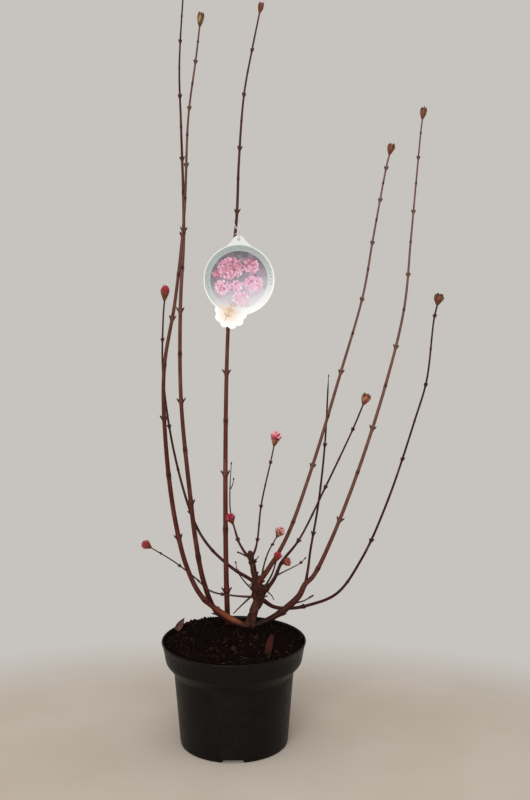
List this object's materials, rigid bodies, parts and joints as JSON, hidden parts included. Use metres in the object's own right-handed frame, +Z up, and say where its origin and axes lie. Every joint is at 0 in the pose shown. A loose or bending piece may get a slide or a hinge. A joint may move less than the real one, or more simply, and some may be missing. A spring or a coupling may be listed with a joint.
{
  "type": "potted bodnant viburnum",
  "caption": "Bare winter shrub with long upright canes, paired buds and pink flower-bud heads, in a round black nursery pot with a hang label.",
  "frame": {"origin": "centre of the pot's flat underside, on the ground", "axes": "+Z up along the pot's axis, -Y towards the side that the label faces, +X to that viewer's right"},
  "size_m": [0.3789, 0.2159, 1.0448],
  "materials": {
    "black_plastic": "satin moulded plastic",
    "peat": "rough and fibrous",
    "old_bark": "rough old bark",
    "cane_bark": "smooth reddish-brown bark",
    "twigs": "thin bark with soft buds",
    "label_card": "printed card with a gloss",
    "tie_thread": "thin pale thread",
    "dry_leaf": "dry curled leaf"
  },
  "bodies": {
    "root": {"pot": "black_plastic", "soil": "peat", "dry_leaf": "dry_leaf", "old_stem": "old_bark", "cane_tall_right": "cane_bark", "cane_outer_left": "cane_bark", "cane_middle": "cane_bark", "cane_tall_left": "cane_bark", "cane_slim_left": "cane_bark", "cane_inner_right": "cane_bark", "cane_slim_right": "cane_bark", "cane_upright_right": "cane_bark", "cane_outer_right": "cane_bark", "twig_left": "twigs", "twig_fork_left": "twigs", "twig_fork_right": "twigs", "twig_front": "twigs", "twig_red": "twigs", "twig_bare_left": "twigs", "twig_bare_right": "twigs", "twig_low": "twigs", "stub_low": "twigs", "stub_dead": "twigs", "label": "label_card", "label_tie": "tie_thread"}
  },
  "joints": []
}
